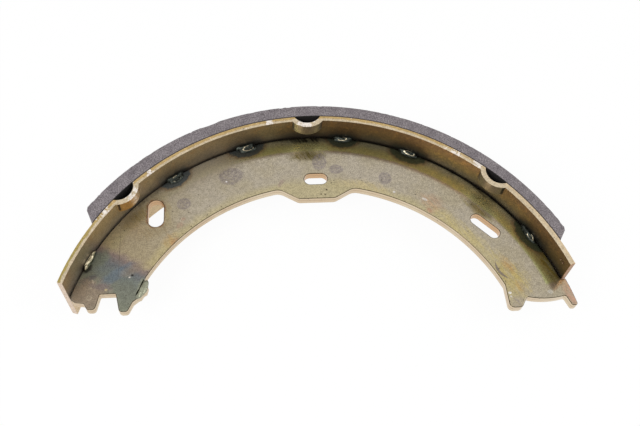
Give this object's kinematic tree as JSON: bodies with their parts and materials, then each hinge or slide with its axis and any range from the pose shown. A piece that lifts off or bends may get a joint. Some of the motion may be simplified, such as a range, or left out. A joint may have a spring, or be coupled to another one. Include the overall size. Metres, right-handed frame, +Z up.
{
  "type": "brake shoe",
  "caption": "Drum brake shoe: a curved steel rim welded round a flat slotted web, with a friction lining bonded to its outside.",
  "frame": {"origin": "middle of the box round the shoe, on the surface that its lower edge lies on; the drum's axis is upright and passes through (-0.001344, -0.06183)", "axes": "+Z up along the drum's axis, out of the face of the web that the picture shows; +X along the shoe's length towards its hooked end; +Y outwards towards the lining's middle"},
  "size_m": [0.1914, 0.0852, 0.029],
  "materials": {
    "plated_web": "zinc plated and chromated steel sheet, dull, grey-tan with olive and purple stains",
    "plated_rim": "zinc plated and chromated steel strip, brown-olive, worn bright on its edges",
    "bond_film": "thin dark cured adhesive",
    "friction_block": "rough ground mineral and resin friction composite, dark grey",
    "weld_metal": "resistance weld flash, dull and heat-tinted"
  },
  "bodies": {
    "root": {"web": "plated_web", "rim": "plated_rim", "adhesive": "bond_film", "lining": "friction_block", "weld_1": "weld_metal", "weld_2": "weld_metal", "weld_3": "weld_metal", "weld_4": "weld_metal", "weld_5": "weld_metal", "weld_6": "weld_metal"}
  },
  "joints": []
}
